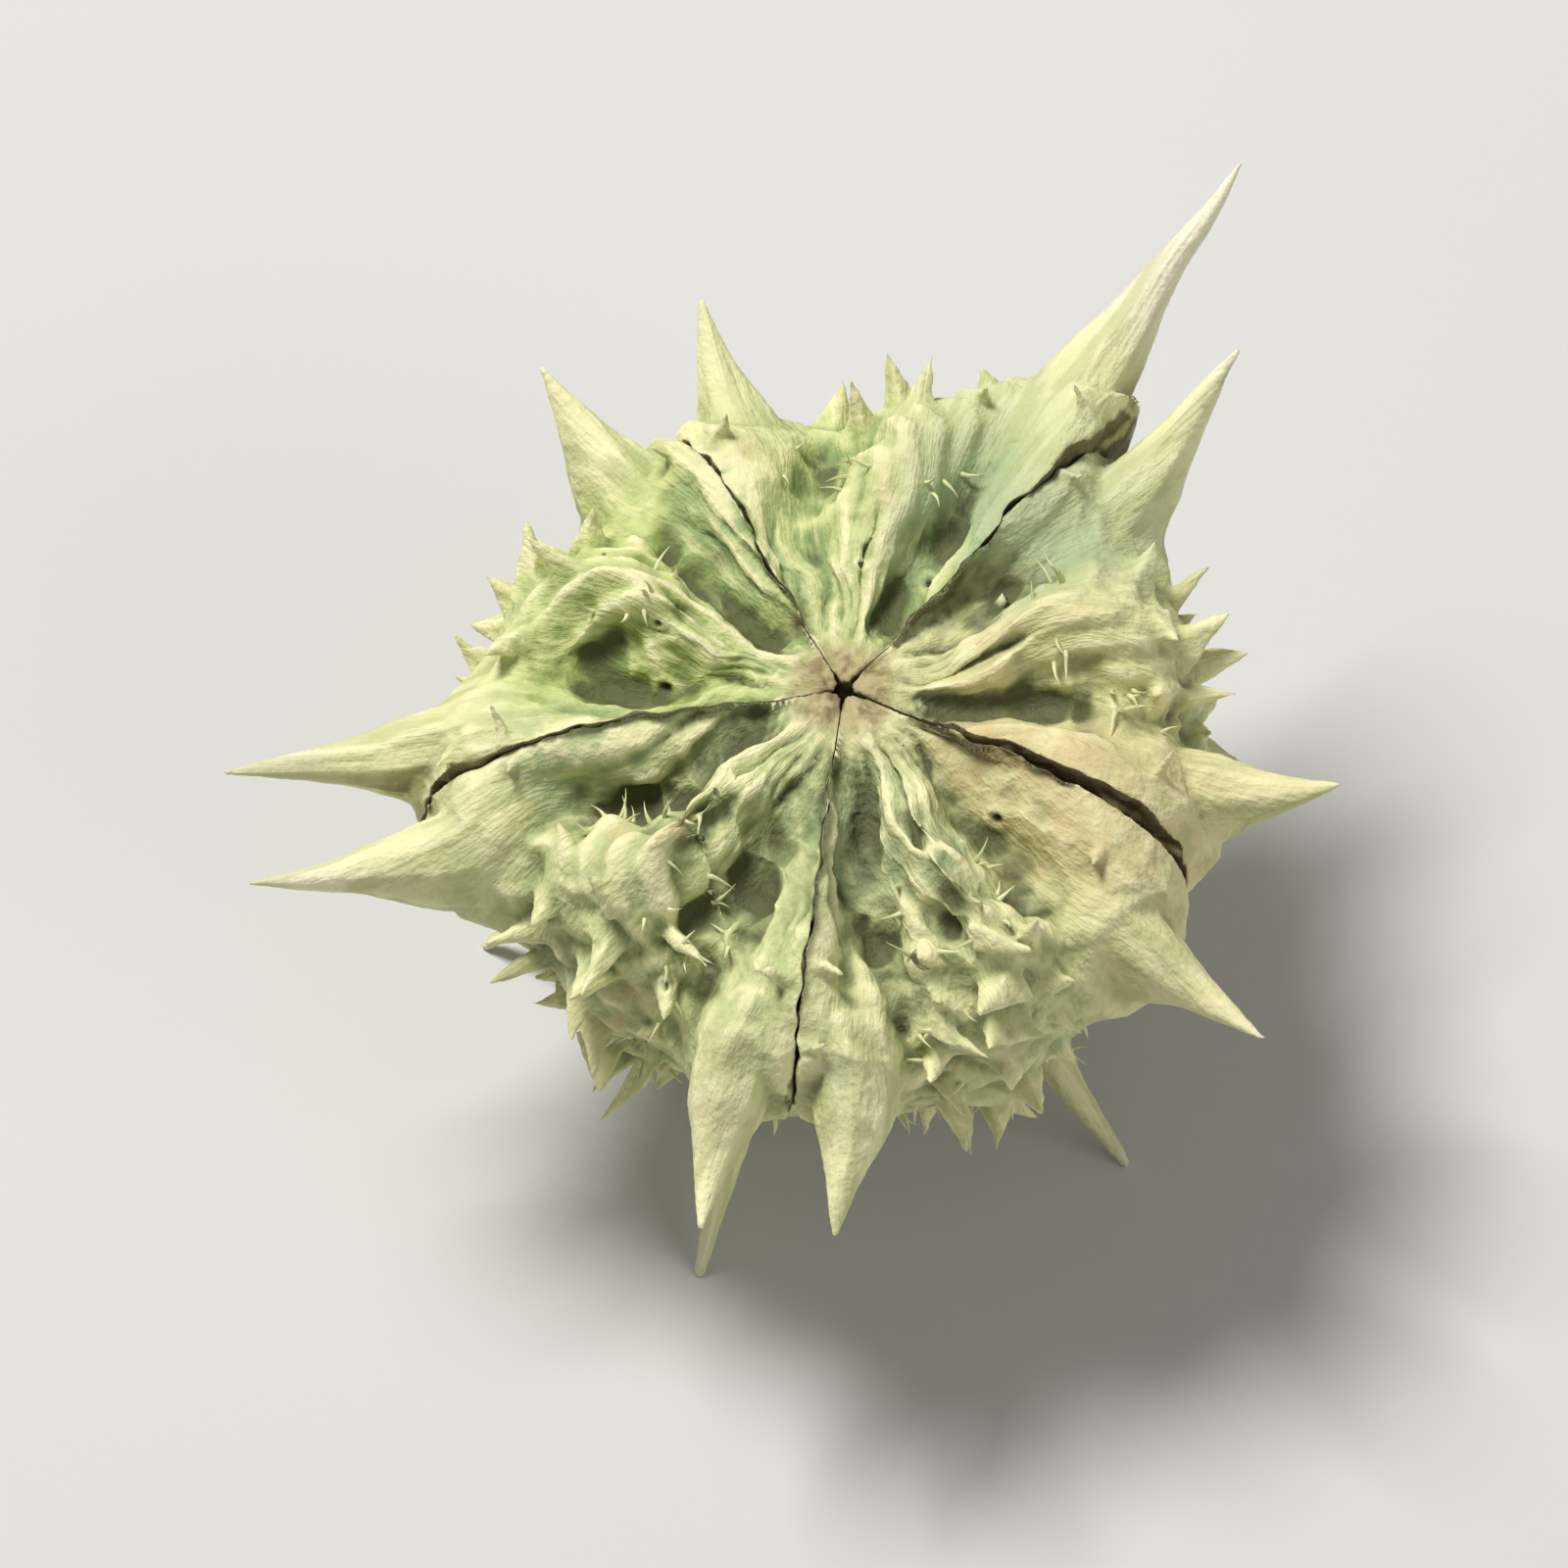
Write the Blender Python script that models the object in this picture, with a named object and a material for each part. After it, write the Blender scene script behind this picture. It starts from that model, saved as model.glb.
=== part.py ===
"""A dried puncture vine burr: five woody nutlets that stand round one axis.

Each nutlet is a wedge with a crested back, two flat ribbed sides, two long horns
beside its sutures, two basal horns that reach down, and rows of prickles.
The burr's axis is +Z, with the style end up, and it rests on five basal horns,
whose blunt tips are small flats at z = 0. The origin is under the middle of its box.
Dimensions are in millimetres until a mesh is made.
"""

import math
import random
from collections import namedtuple

import bmesh
import bpy
from mathutils import Matrix, Vector, noise

MM = 0.001

# The body of the burr, without horns and prickles
NUTLET_COUNT = 5
FIRST_NUTLET_DEG = 11.0
OPEN_SUTURE_DEG = 1.5
BODY_RADIUS = 3.70
BODY_HALF_HEIGHT = 2.85
BODY_MIDDLE = 5.05
BODY_SQUARENESS = 2.7
CENTRE_DISH = 0.32
DISH_RADIUS = 1.7

# The flat sides of a nutlet, and the open suture between two of them
SUTURE_AT_AXIS = 0.06
SUTURE_TAPER_DEG = 0.55
INNER_EDGE_RADIUS = 0.22
FACE_START_RADIUS = 0.8
RIB_ROWS = 4
RIB_DEPTH = 0.15
RIBBED_PART = 0.62
OUTER_RIB_SHARE = 0.35
RIB_FADE_ROWS = 6.0
SIDE_MARGIN = 0.03
INNER_CROWDING = 0.10
SIDE_BOW = 2.0

# The relief of the outer surface
CREST_RISE = 0.50
CREST_WIDTH = 0.20
EDGE_RISE = 0.34
EDGE_WIDTH = 0.16
VALLEY_DEPTH = 0.62
VALLEY_WIDTH = 0.25
VALLEY_ON_BACK = 0.40
VALLEY_ON_FACE = 0.52
BACK_EDGE_SHARE = 0.4
BACK_VALLEY_SHARE = 0.55
FACE_BEGINS = 0.35
FACE_FULL = 0.75
ROUGHNESS = 0.07
LUMP_SIZE = 0.9
KNOB_RISE = 0.20
KNOB_BAND = 0.36
KNOB_END_ROWS = 3
FULL_RELIEF_RADIUS = 2.3

# The grid of a nutlet: columns across its back, columns on a side, rows from top to bottom
BACK_COLUMNS = 18
SIDE_COLUMNS = 4
ROWS = 28

# Horns
Horn = namedtuple("Horn", "side column row length lean rise radius flare foot")
LongHorn = namedtuple("LongHorn", "length lean rise row")
BasalHorn = namedtuple("BasalHorn", "length lean dip")
HORN_SIDES = 8
HORN_RINGS = 6
HORN_BEND = 0.05
RING_SPACING = 1.25
SHAFT_SHARE = 0.75
FLARE_FALL = 0.85
FLARE_END = 2.3
FLARE_TO_FACE = 1.3
AXIAL_STRETCH = 1.4
SPREAD_SHARE = 0.8
TIP_RADIUS = 0.035
FOOT_RADIUS = 0.09
LONG_COLUMN = 6
LONG_RADIUS = 0.60
LONG_FLARE_SHARE = 0.40
BASAL_COLUMN = 5
BASAL_ROW = 21
BASAL_RADIUS = 0.40
BASAL_FLARE = 0.75

# Each nutlet has a long horn on its clockwise side and one on its anticlockwise side.
# Lean is towards the suture and rise is above level, in degrees. A longer horn has a taller base.
LONG_HORNS = [
    (LongHorn(3.2, -14, 20, 11), LongHorn(4.0, 2, 26, 10)),
    (LongHorn(6.0, -3, 20, 10), LongHorn(3.0, -8, 26, 10)),
    (LongHorn(3.0, -8, 24, 10), LongHorn(4.6, 2, 10, 11)),
    (LongHorn(4.5, 0, 5, 11), LongHorn(3.4, -2, -14, 11)),
    (LongHorn(3.2, 0, -16, 11), LongHorn(3.4, -14, 4, 11)),
]
# The basal horn on the clockwise side stops short. The other is a foot that reaches z = 0.
BASAL_HORNS = [
    (BasalHorn(1.7, -8, 52), BasalHorn(None, -12, 57)),
    (BasalHorn(2.0, -12, 60), BasalHorn(None, -10, 56)),
    (BasalHorn(1.6, -9, 50), BasalHorn(None, -9, 58)),
    (BasalHorn(1.5, -10, 56), BasalHorn(None, -12, 55)),
    (BasalHorn(1.9, -12, 58), BasalHorn(None, -9, 57)),
]

# Prickles
PRICKLE_SIDES = 4
PRICKLE_ROOT = 0.28
PRICKLE_TIP = 0.02
ROOT_WIDENING = 1.25
PRICKLE_LEAN = 0.25
CREST_FIRST_ROW = 7
CREST_ROW_STEP = 2
CREST_FILE_GAP = 0.23
CREST_HEIGHTS = (0.40, 0.90)
CREST_RADII = (0.22, 0.32)
TALL_EXTRA = 0.25
EDGE_ROWS = (7, 9, 11, 18)
EDGE_BAND = (0.82, 0.88)
EDGE_HEIGHTS = (0.3, 0.6)
EDGE_RADIUS = 0.15
HORN_CLEAR_U = 0.3
HORN_CLEAR_ROWS = 2.2
SEED = 2024

NUTLET_COLOURS = [
    (0.47, 0.50, 0.27, 1.0),
    (0.41, 0.48, 0.31, 1.0),
    (0.44, 0.47, 0.27, 1.0),
    (0.43, 0.47, 0.29, 1.0),
    (0.48, 0.46, 0.27, 1.0),
]

HALF_WEDGE = math.radians(180.0 / NUTLET_COUNT)
SIDE_ANGLE = HALF_WEDGE - math.radians(SUTURE_TAPER_DEG)
WEDGE_APEX = SUTURE_AT_AXIS / 2.0 / math.sin(HALF_WEDGE)


def clear_scene():
    for thing in list(bpy.data.objects):
        bpy.data.objects.remove(thing, do_unlink=True)


def bump(distance, width):
    """A smooth hump, 1 high at its middle."""
    return math.exp(-((distance / width) ** 2))


def between(first, second, share):
    return first + (second - first) * share


def outline():
    """The half outline of the body from the style end to the base, as (radius, height)."""
    steps = 400
    fine = []
    for step in range(steps + 1):
        angle = math.radians(90.0 - 180.0 * step / steps)
        power = 2.0 / BODY_SQUARENESS
        radius = BODY_RADIUS * abs(math.cos(angle)) ** power
        height = BODY_HALF_HEIGHT * math.copysign(abs(math.sin(angle)) ** power, angle)
        height -= math.copysign(CENTRE_DISH * bump(radius, DISH_RADIUS), angle)
        if radius >= FACE_START_RADIUS:
            fine.append(Vector((radius, height)))
    lengths = [0.0]
    for before, after in zip(fine, fine[1:]):
        lengths.append(lengths[-1] + (after - before).length)
    even = []
    place = 0
    for row in range(ROWS + 1):
        wanted = lengths[-1] * row / ROWS
        while place < len(fine) - 2 and lengths[place + 1] < wanted:
            place += 1
        share = (wanted - lengths[place]) / (lengths[place + 1] - lengths[place])
        even.append(fine[place].lerp(fine[place + 1], share))
    return even


OUTLINE = outline()


def across(column):
    """Where a column of the back lies, from -1 at one side to 1 at the other."""
    return 2.0 * column / BACK_COLUMNS - 1.0


def relief(u, height, seed_shift, place):
    """How far the skin stands out: the crest, the raised suture edges and the valleys between."""
    share = (abs(height) / BODY_HALF_HEIGHT - FACE_BEGINS) / (FACE_FULL - FACE_BEGINS)
    faceward = min(1.0, max(0.0, share))
    crest = CREST_RISE * bump(u, CREST_WIDTH)
    edge = EDGE_RISE * bump(abs(u) - 1.0, EDGE_WIDTH) * between(BACK_EDGE_SHARE, 1.0, faceward)
    middle = between(VALLEY_ON_BACK, VALLEY_ON_FACE, faceward)
    valley = VALLEY_DEPTH * bump(abs(u) - middle, VALLEY_WIDTH)
    valley *= between(BACK_VALLEY_SHARE, 1.0, faceward)
    lumps = ROUGHNESS * noise.noise(place / LUMP_SIZE + seed_shift)
    return crest + edge - valley + lumps


def knob(column, row):
    """Every second grid point of the crest stands up as a blunt tubercle."""
    u = across(column)
    on_crest = abs(u) < KNOB_BAND and KNOB_END_ROWS <= row <= ROWS - KNOB_END_ROWS
    if on_crest and (column + row) % 2 == 0:
        return KNOB_RISE
    return 0.0


def relief_share(row):
    """How much of the relief a row takes, from none in the middle of the face to all of it."""
    return min(1.0, (OUTLINE[row][0] - OUTLINE[0][0]) / (FULL_RELIEF_RADIUS - OUTLINE[0][0]))


def skin_point(column, row, seed_shift):
    """A point of the outer surface before the horns draw it out."""
    radius, height = OUTLINE[row]
    u = across(column)
    angle = u * SIDE_ANGLE
    place = Vector((radius * math.cos(angle), radius * math.sin(angle), height))
    rise = relief(u, height, seed_shift, place) + knob(column, row)
    place += place.normalized() * rise * relief_share(row)
    place.x += WEDGE_APEX
    place.z += BODY_MIDDLE
    return place


def side_normal(side):
    return Vector((-math.sin(SIDE_ANGLE), side * math.cos(SIDE_ANGLE), 0.0))


def kept_inside(place, side, margin):
    """The place, moved square to a side plane until it is at least margin inside it."""
    normal = side_normal(side)
    beyond = (place - Vector((WEDGE_APEX, 0.0, 0.0))).dot(normal) + margin
    if beyond > 0.0:
        return place - normal * beyond
    return place


def onto_side(place, side):
    """The place, moved along the back until it lies in a side plane."""
    reach = place.x - WEDGE_APEX
    return Vector((place.x, side * reach * math.tan(SIDE_ANGLE), place.z))


def horn_direction(horn):
    """A horn points along its suture, turned by its lean and lifted by its rise."""
    turn = horn.side * (SIDE_ANGLE + math.radians(horn.lean))
    rise = math.radians(horn.rise)
    return Vector(
        (
            math.cos(rise) * math.cos(turn),
            math.cos(rise) * math.sin(turn),
            math.sin(rise),
        )
    )


def horn_frame(horn):
    """The horn's direction, the direction across it and the one along the fruit's axis."""
    direction = horn_direction(horn)
    crosswise = direction.cross(Vector((0.0, 0.0, 1.0))).normalized()
    lengthwise = crosswise.cross(direction).normalized()
    return direction, crosswise, lengthwise


def horn_column(horn):
    middle = BACK_COLUMNS // 2
    return middle + horn.side * horn.column


def drawn_out(place, row, root, horn):
    """A skin point, lifted into the wide concave base of a horn."""
    direction, crosswise, lengthwise = horn_frame(horn)
    offset = place - root
    sideways = offset.dot(crosswise)
    along = offset.dot(lengthwise) / AXIAL_STRETCH
    if along > 0.0 and not horn.foot:
        along /= FLARE_TO_FACE
    reach = math.hypot(sideways, along)
    if reach == 0.0:
        return place
    distance = math.hypot(reach, offset.dot(direction))
    end = math.exp(-FLARE_END / FLARE_FALL)
    share = max(0.0, math.exp(-max(0.0, distance - horn.radius) / FLARE_FALL) - end) / (1.0 - end)
    share *= relief_share(row)
    spread = (math.hypot(reach, horn.radius) / reach - 1.0) * share
    aside = (crosswise * sideways + lengthwise * along * AXIAL_STRETCH) * spread
    return place + direction * horn.flare * share + aside * SPREAD_SHARE


def horn_rings(horn, root, start, first_angle, turn):
    """The rings of a horn from its base to its tip, each a list of places."""
    direction, crosswise, lengthwise = horn_frame(horn)
    length = horn.length
    if horn.foot:
        length = -root.z / direction.z
    last = FOOT_RADIUS if horn.foot else TIP_RADIUS
    rings = []
    for step in range(HORN_RINGS + 1):
        share = (step / HORN_RINGS) ** RING_SPACING
        taper = (1.0 - share) * between(SHAFT_SHARE, 1.0, (1.0 - share) ** 3)
        radius = between(last, horn.radius, taper)
        stretch = between(1.0, AXIAL_STRETCH, (1.0 - share) ** 2)
        centre = root + direction * between(start, length, share)
        centre += lengthwise * HORN_BEND * length * share**2
        ring = []
        for corner in range(HORN_SIDES):
            angle = first_angle + turn * corner * 2.0 * math.pi / HORN_SIDES
            offset = crosswise * math.cos(angle) + lengthwise * math.sin(angle) * stretch
            ring.append(centre + offset * radius)
        rings.append(ring)
    if horn.foot:
        for place in rings[-1]:
            place.z = 0.0
    return rings


def nutlet_horns(index):
    """The four horns of a nutlet: two long ones and two basal ones."""
    horns = []
    for side, long, basal in zip((-1, 1), LONG_HORNS[index], BASAL_HORNS[index]):
        horns.append(
            Horn(
                side=side,
                column=LONG_COLUMN,
                row=long.row,
                length=long.length,
                lean=long.lean,
                rise=long.rise,
                radius=LONG_RADIUS,
                flare=long.length * LONG_FLARE_SHARE,
                foot=False,
            )
        )
        horns.append(
            Horn(
                side=side,
                column=BASAL_COLUMN,
                row=BASAL_ROW,
                length=basal.length,
                lean=basal.lean,
                rise=-basal.dip,
                radius=BASAL_RADIUS,
                flare=BASAL_FLARE,
                foot=basal.length is None,
            )
        )
    return horns


def skin_grid(horns, seed_shift):
    """The outer surface as rows of places, drawn out at the horns and trimmed at the sides."""
    plain = []
    for row in range(ROWS + 1):
        plain.append([skin_point(column, row, seed_shift) for column in range(BACK_COLUMNS + 1)])
    roots = [plain[horn.row][horn_column(horn)].copy() for horn in horns]
    grid = []
    for row in range(ROWS + 1):
        line = []
        for column in range(BACK_COLUMNS + 1):
            place = plain[row][column]
            for horn, root in zip(horns, roots):
                place = drawn_out(place, row, root, horn)
            for side, steps in ((-1, column), (1, BACK_COLUMNS - column)):
                place = kept_inside(place, side, SIDE_MARGIN * steps)
            if column in (0, BACK_COLUMNS):
                place = onto_side(place, -1 if column == 0 else 1)
            line.append(place)
        grid.append(line)
    return grid, roots


def side_places(outer, side, row):
    """The places on a flat side in one row, from the inner edge outwards, with its cross ribs."""
    top = OUTLINE[0][1] + BODY_MIDDLE
    bottom = OUTLINE[-1][1] + BODY_MIDDLE
    reach = INNER_EDGE_RADIUS - WEDGE_APEX
    level = row / ROWS + INNER_CROWDING * math.sin(2.0 * math.pi * row / ROWS)
    height = between(top, bottom, level)
    inner = Vector((INNER_EDGE_RADIUS, side * reach * math.tan(SIDE_ANGLE), height))
    rib = math.cos(math.pi * row / RIB_ROWS) ** 2
    fade = min(1.0, row / RIB_FADE_ROWS, (ROWS - row) / RIB_FADE_ROWS)
    places = [inner]
    for column in range(1, SIDE_COLUMNS):
        share = column / SIDE_COLUMNS
        ribbed = 1.0 if share <= RIBBED_PART else OUTER_RIB_SHARE
        sunk = RIB_DEPTH * ribbed * (1.0 - rib) * fade
        place = inner.lerp(outer, share)
        place.z = between(inner.z, outer.z, share**SIDE_BOW)
        places.append(place - side_normal(side) * sunk)
    return places


def nutlet_shell(horns, seed_shift):
    """The closed body of a nutlet with its horns, as a bmesh in millimetres, and its skin grid."""
    grid, roots = skin_grid(horns, seed_shift)
    shell = bmesh.new()
    loops = []
    for row in range(ROWS + 1):
        lower = side_places(grid[row][0], -1, row)
        upper = side_places(grid[row][-1], 1, row)
        places = lower + grid[row] + upper[::-1]
        loops.append([shell.verts.new(place) for place in places])
    size = len(loops[0])
    holes = set()
    for horn in horns:
        column = SIDE_COLUMNS + horn_column(horn)
        for row in (horn.row - 1, horn.row):
            holes.update({(row, column - 1), (row, column)})
    for row in range(ROWS):
        for column in range(size):
            if (row, column) in holes:
                continue
            after = (column + 1) % size
            shell.faces.new(
                (
                    loops[row][column],
                    loops[row + 1][column],
                    loops[row + 1][after],
                    loops[row][after],
                )
            )
    for row, upward in ((0, 1), (ROWS, -1)):
        cap_end(shell, loops[row], upward)
    for horn, root in zip(horns, roots):
        grow_horn(shell, loops, horn, root)
    return shell, grid


def cap_end(shell, loop, upward):
    """Closes the style end or the base with a fan about its middle."""
    middle = Vector((0.0, 0.0, 0.0))
    for vertex in loop:
        middle += vertex.co / len(loop)
    hub = shell.verts.new(middle)
    for here, after in zip(loop, loop[1:] + loop[:1]):
        corners = (here, after, hub) if upward > 0 else (after, here, hub)
        shell.faces.new(corners)


def wrapped(angle):
    """The same angle, from minus half a turn to half a turn."""
    return (angle + math.pi) % (2.0 * math.pi) - math.pi


def grow_horn(shell, loops, horn, root):
    """Grows a horn from the hole that was left for it in the skin."""
    row = horn.row
    column = SIDE_COLUMNS + horn_column(horn)
    shell.verts.remove(loops[row][column])
    around = [(-1, -1), (0, -1), (1, -1), (1, 0), (1, 1), (0, 1), (-1, 1), (-1, 0)]
    base = [loops[row + down][column + over] for down, over in around]
    direction, crosswise, lengthwise = horn_frame(horn)
    angles = []
    heights = []
    for vertex in base:
        offset = vertex.co - root
        angles.append(math.atan2(offset.dot(lengthwise), offset.dot(crosswise)))
        heights.append(offset.dot(direction))
    turn = math.copysign(1.0, wrapped(angles[1] - angles[0]))
    corner_turn = turn * 2.0 * math.pi / HORN_SIDES
    drifts = [wrapped(angle - angles[0] - corner_turn * corner) for corner, angle in enumerate(angles)]
    start = max(horn.flare, max(heights))
    rings = horn_rings(horn, root, start, angles[0] + sum(drifts) / HORN_SIDES, turn)
    for vertex, place, height in zip(base, rings[0], heights):
        vertex.co = place + direction * (height - start)
    ring = base
    for places in rings[1:]:
        fresh = [shell.verts.new(place) for place in places]
        for corner in range(HORN_SIDES):
            after = (corner + 1) % HORN_SIDES
            shell.faces.new((ring[corner], ring[after], fresh[after], fresh[corner]))
        ring = fresh
    shell.faces.new(ring)


def surface_at(grid, u, row):
    """A place and the outward direction on the skin, between the grid's points."""
    column = (u + 1.0) / 2.0 * BACK_COLUMNS
    left = min(BACK_COLUMNS - 1, int(column))
    above = min(ROWS - 1, int(row))
    share_u = column - left
    share_v = row - above
    first = grid[above][left].lerp(grid[above][left + 1], share_u)
    second = grid[above + 1][left].lerp(grid[above + 1][left + 1], share_u)
    crosswise = grid[above][left + 1] - grid[above][left]
    downward = grid[above + 1][left] - grid[above][left]
    return first.lerp(second, share_v), downward.cross(crosswise).normalized()


def prickle_spots(index, horns):
    """Where the prickles of a nutlet stand, as (u, row, height, radius), by rule and seed."""
    dice = random.Random(SEED + index)
    spots = []
    for line, row in enumerate(range(CREST_FIRST_ROW, ROWS - 2, CREST_ROW_STEP)):
        for file in (-1, 0, 1):
            u = CREST_FILE_GAP * file + dice.uniform(-0.05, 0.05)
            place = row + 0.8 * abs(file) + dice.uniform(-0.35, 0.35)
            tall = dice.uniform(*CREST_HEIGHTS)
            if file == 0 and line % 3 == 1:
                tall += TALL_EXTRA
            spots.append((u, place, tall, dice.uniform(*CREST_RADII)))
    for side in (-1, 1):
        for row in EDGE_ROWS:
            u = side * dice.uniform(*EDGE_BAND)
            spots.append((u, row + dice.uniform(-0.6, 0.6), dice.uniform(*EDGE_HEIGHTS), EDGE_RADIUS))
    return [spot for spot in spots if clear_of_horns(spot, horns)]


def clear_of_horns(spot, horns):
    """True where a prickle wouldn't stand on the base of a horn."""
    for horn in horns:
        aside = abs(spot[0] - across(horn_column(horn)))
        if aside < HORN_CLEAR_U and abs(spot[1] - horn.row) < HORN_CLEAR_ROWS:
            return False
    return True


def prickle_shape(place, outward, tall, radius):
    """One few-sided prickle with its root well under the skin."""
    cone = bmesh.new()
    depth = tall + PRICKLE_ROOT
    bmesh.ops.create_cone(
        cone,
        cap_ends=True,
        segments=PRICKLE_SIDES,
        radius1=radius * min(depth / tall, ROOT_WIDENING),
        radius2=PRICKLE_TIP,
        depth=depth,
    )
    turn = outward.to_track_quat("Z", "Y").to_matrix().to_4x4()
    middle = place + outward * (depth / 2.0 - PRICKLE_ROOT)
    bmesh.ops.transform(cone, matrix=Matrix.Translation(middle) @ turn, verts=cone.verts)
    return cone


def mesh_from(shape, name):
    """A Blender mesh in metres from a bmesh in millimetres."""
    bmesh.ops.transform(shape, matrix=Matrix.Scale(MM, 4), verts=shape.verts)
    bmesh.ops.recalc_face_normals(shape, faces=shape.faces)
    mesh = bpy.data.meshes.new(name)
    shape.to_mesh(mesh)
    shape.free()
    return mesh


def fuse_prickles(nutlet, grid, index, horns):
    """Joins a nutlet's prickles to it with one Boolean union."""
    dice = random.Random(SEED * 3 + index)
    group = bpy.data.collections.new("prickles")
    for u, row, tall, radius in prickle_spots(index, horns):
        place, outward = surface_at(grid, u, row)
        lean = Vector((dice.uniform(-1, 1), dice.uniform(-1, 1), dice.uniform(-0.6, 1)))
        outward = (outward + lean * PRICKLE_LEAN).normalized()
        cone = prickle_shape(place, outward, tall, radius)
        group.objects.link(bpy.data.objects.new("prickle", mesh_from(cone, "prickle")))
    union = nutlet.modifiers.new("prickles", "BOOLEAN")
    union.operation = "UNION"
    union.operand_type = "COLLECTION"
    union.collection = group
    union.solver = "EXACT"
    evaluated = nutlet.evaluated_get(bpy.context.evaluated_depsgraph_get())
    fused = bpy.data.meshes.new_from_object(evaluated)
    nutlet.modifiers.remove(union)
    nutlet.data = fused
    for prickle in list(group.objects):
        bpy.data.objects.remove(prickle, do_unlink=True)
    bpy.data.collections.remove(group)


def woody(name, colour):
    material = bpy.data.materials.new(name)
    material.use_nodes = True
    shader = material.node_tree.nodes["Principled BSDF"]
    shader.inputs["Base Color"].default_value = colour
    shader.inputs["Roughness"].default_value = 0.78
    shader.inputs["Metallic"].default_value = 0.0
    return material


def make_nutlet(index):
    """One nutlet, with its crest along local +X, turned to its place round the axis."""
    name = f"nutlet_{index + 1}"
    horns = nutlet_horns(index)
    shell, grid = nutlet_shell(horns, Vector((7.3 * index, 3.1 * index, 0.0)))
    nutlet = bpy.data.objects.new(name, mesh_from(shell, name))
    bpy.context.scene.collection.objects.link(nutlet)
    fuse_prickles(nutlet, grid, index, horns)
    nutlet.data.name = name
    nutlet.data.materials.clear()
    nutlet.data.materials.append(woody(f"{name}_wood", NUTLET_COLOURS[index]))
    nutlet.data.shade_smooth()
    nutlet.data.set_sharp_from_angle(angle=math.radians(40.0))
    spread = OPEN_SUTURE_DEG * (0.5 - index / (NUTLET_COUNT - 1.0))
    turn = FIRST_NUTLET_DEG + 360.0 / NUTLET_COUNT * index + spread
    nutlet.rotation_euler.z = math.radians(turn)
    return nutlet


def centre_on_box(pieces):
    """Moves the burr level, so that the middle of its box is over the origin."""
    bpy.context.view_layer.update()
    places = [piece.matrix_world @ vertex.co for piece in pieces for vertex in piece.data.vertices]
    for axis in (0, 1):
        values = [place[axis] for place in places]
        middle = (min(values) + max(values)) / 2.0
        for piece in pieces:
            piece.location[axis] = -middle


clear_scene()
nutlets = [make_nutlet(index) for index in range(NUTLET_COUNT)]
centre_on_box(nutlets)
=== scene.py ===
"""The look of a dried puncture vine burr: its five woody nutlets, their hairs, and a plain studio."""

import math
import random

import bmesh
import bpy
import numpy as np
from mathutils import Matrix, Vector, noise


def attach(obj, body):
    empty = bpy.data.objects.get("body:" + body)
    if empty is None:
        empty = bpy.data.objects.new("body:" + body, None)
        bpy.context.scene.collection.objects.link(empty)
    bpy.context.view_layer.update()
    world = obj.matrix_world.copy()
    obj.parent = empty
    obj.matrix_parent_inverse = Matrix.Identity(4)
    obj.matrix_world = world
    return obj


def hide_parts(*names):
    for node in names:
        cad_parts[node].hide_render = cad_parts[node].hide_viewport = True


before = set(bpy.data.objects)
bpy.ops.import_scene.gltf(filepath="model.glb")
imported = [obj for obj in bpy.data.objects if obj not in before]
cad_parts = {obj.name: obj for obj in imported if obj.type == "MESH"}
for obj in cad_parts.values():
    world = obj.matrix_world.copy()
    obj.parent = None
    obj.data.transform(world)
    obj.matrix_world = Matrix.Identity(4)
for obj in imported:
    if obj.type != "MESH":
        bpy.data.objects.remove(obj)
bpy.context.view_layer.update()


# The five nutlets: hard wedges of dry husk round one axis, each with a crest of tubercles,
# raised suture edges, two long horns and two basal ones. Each starts as a copy of its CAD
# solid, is remeshed finely, and is then lumped, ribbed, wrinkled and pitted, in millimetres.
BURR_AXIS = Vector((0.7693, -0.30135, 0.0))
NUTLET_TURNS = {
    "nutlet_1": 11.75,
    "nutlet_2": 83.375,
    "nutlet_3": 155.0,
    "nutlet_4": 226.625,
    "nutlet_5": 298.25,
}
WEDGE_APEX = 0.051
SIDE_DEG = 35.45
MEETING_DEG = 35.8125
BODY_RADIUS = 3.70
BODY_HALF_HEIGHT = 2.85
BODY_MIDDLE = 5.05
BODY_SQUARENESS = 2.7
INNER_EDGE = 0.25
RAY_HEART = 0.3
SEED = 77
noise.seed_set(SEED)


def nutlet_space(name):
    """The turn from the burr's frame in metres to the nutlet's own frame in millimetres."""
    turn = Matrix.Rotation(-math.radians(NUTLET_TURNS[name]), 4, "Z")
    return turn @ Matrix.Translation(-BURR_AXIS) @ Matrix.Scale(1000.0, 4)


def vertex_places(mesh):
    places = np.empty(len(mesh.vertices) * 3, np.float32)
    mesh.vertices.foreach_get("co", places)
    return places.reshape(-1, 3)


def move_vertices(mesh, places):
    mesh.vertices.foreach_set("co", places.ravel())
    mesh.update()


def vertex_normals(mesh):
    normals = np.empty(len(mesh.vertices) * 3, np.float32)
    mesh.vertex_normals.foreach_get("vector", normals)
    return normals.reshape(-1, 3)


def edge_ends(mesh):
    ends = np.empty(len(mesh.edges) * 2, np.int32)
    mesh.edges.foreach_get("vertices", ends)
    return ends.reshape(-1, 2).T


def smooth_step(low, high, values):
    """0 up to low and 1 past high, with a soft turn between; high may be the smaller."""
    share = np.clip((values - low) / (high - low), 0.0, 1.0)
    return share * share * (3.0 - 2.0 * share)


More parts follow.
